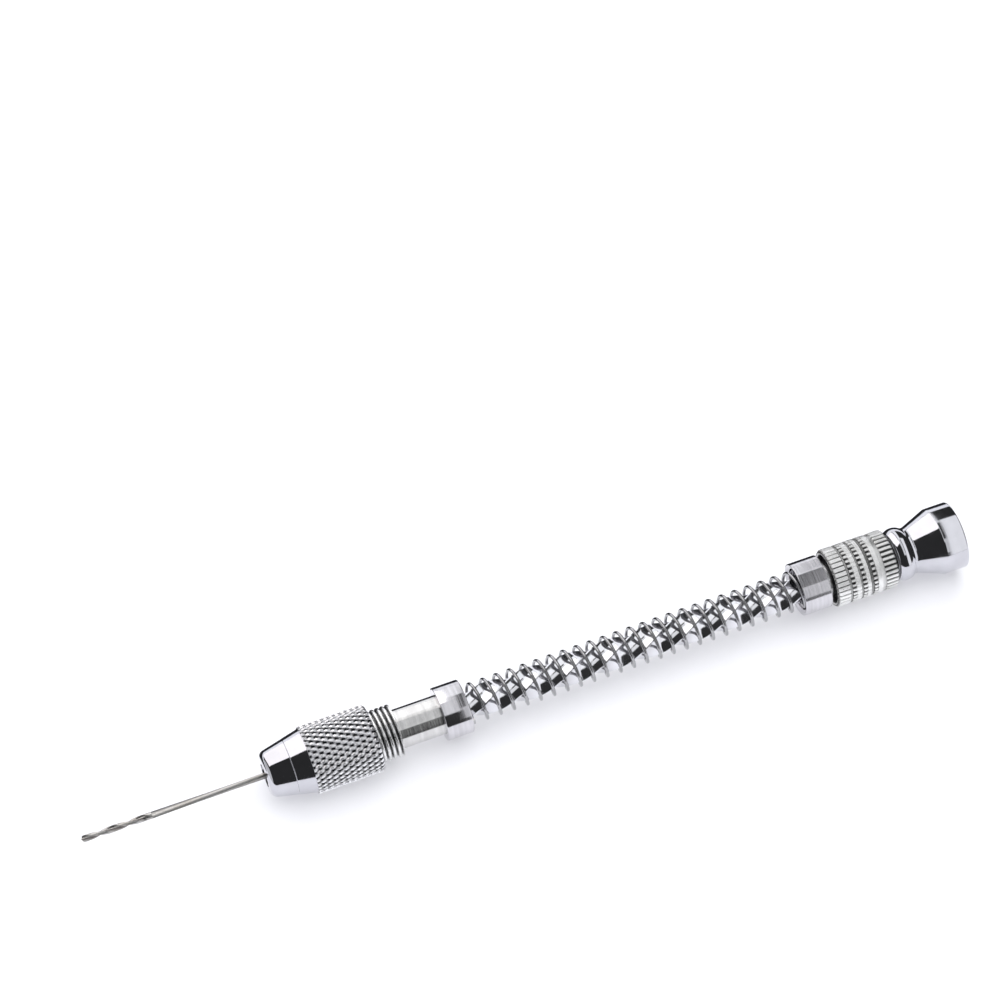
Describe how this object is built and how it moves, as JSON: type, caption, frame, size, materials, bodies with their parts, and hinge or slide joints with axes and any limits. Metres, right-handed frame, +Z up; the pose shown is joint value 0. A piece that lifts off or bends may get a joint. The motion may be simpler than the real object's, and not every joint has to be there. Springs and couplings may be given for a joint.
{
  "type": "push drill",
  "caption": "Small archimedean hand drill: a knurled slider pushed along a twisted square rod spins a collet chuck with a fine twist drill, under a swivelling palm cap.",
  "frame": {"origin": "on the tool's axis, centre of the end cap's flat rear face", "axes": "+X along the tool's axis, from the drill point to the end cap; +Z up, the tool lying on its side"},
  "size_m": [0.1345, 0.01, 0.01],
  "materials": {
    "chrome_cap": "polished, fine turning lines on the cone",
    "nut_nickel": "bright plated, diamond knurl and polished nose",
    "turned_steel": "turned, fine rings round the axis",
    "brushed_ring": "satin, brushed round",
    "rod_chrome": "bright drawn and twisted bar",
    "spring_steel": "bright drawn wire",
    "sleeve_nickel": "bright plated straight knurl",
    "bit_steel": "ground high speed steel",
    "hard_steel": "hardened and ground",
    "nut_plated": "nickel plated, machined",
    "bush_bronze": "sintered bearing bronze"
  },
  "bodies": {
    "spindle": {"chuck_body": "turned_steel", "rod_cross_pin": "hard_steel", "front_collar": "brushed_ring", "twisted_rod": "rod_chrome", "return_spring": "spring_steel", "stop_washer": "hard_steel", "tail_washer": "hard_steel", "tail_clip": "hard_steel"},
    "collet": {"collet": "nut_nickel"},
    "chuck_nut": {"chuck_nut": "nut_nickel"},
    "drill_bit": {"drill_bit": "bit_steel"},
    "spring_seat": {"spring_seat_ring": "brushed_ring", "thrust_washer": "hard_steel"},
    "slider": {"grip_sleeve": "sleeve_nickel", "sleeve_rear_ring": "sleeve_nickel", "drive_nut": "nut_plated"},
    "end_cap": {"end_cap": "chrome_cap", "cap_bush": "bush_bronze", "thrust_ball": "hard_steel"}
  },
  "joints": [
    {"name": "slider_travel", "type": "slide", "parent": "spindle", "child": "spring_seat", "axis": [-1, 0, 0], "range_m": [0, 0.0373], "stiffness_N_per_m": 106, "springref_m": -0.006, "deforming": ["return_spring"]},
    {"name": "drive_turn", "type": "hinge", "parent": "spring_seat", "child": "slider", "pos_m": [-0.017, 0, 0], "axis": [1, 0, 0], "range_deg": [0, 541]},
    {"name": "cap_swivel", "type": "hinge", "parent": "spindle", "child": "end_cap", "pos_m": [-0.008, 0, 0], "axis": [1, 0, 0], "continuous": true},
    {"name": "collet_release", "type": "slide", "parent": "spindle", "child": "collet", "axis": [-1, 0, 0], "range_m": [0, 0.00225]},
    {"name": "chuck_nut_turn", "type": "hinge", "parent": "collet", "child": "chuck_nut", "pos_m": [-0.096, 0, 0], "axis": [-1, 0, 0], "range_deg": [0, 1081]},
    {"name": "bit_withdraw", "type": "slide", "parent": "collet", "child": "drill_bit", "axis": [-1, 0, 0], "range_m": [0, 0.01]}
  ],
  "couplings": [
    {"joint": "drive_turn", "follows": "slider_travel", "rad_per_m": 252.34},
    {"joint": "chuck_nut_turn", "follows": "collet_release", "rad_per_m": 8377.6}
  ]
}
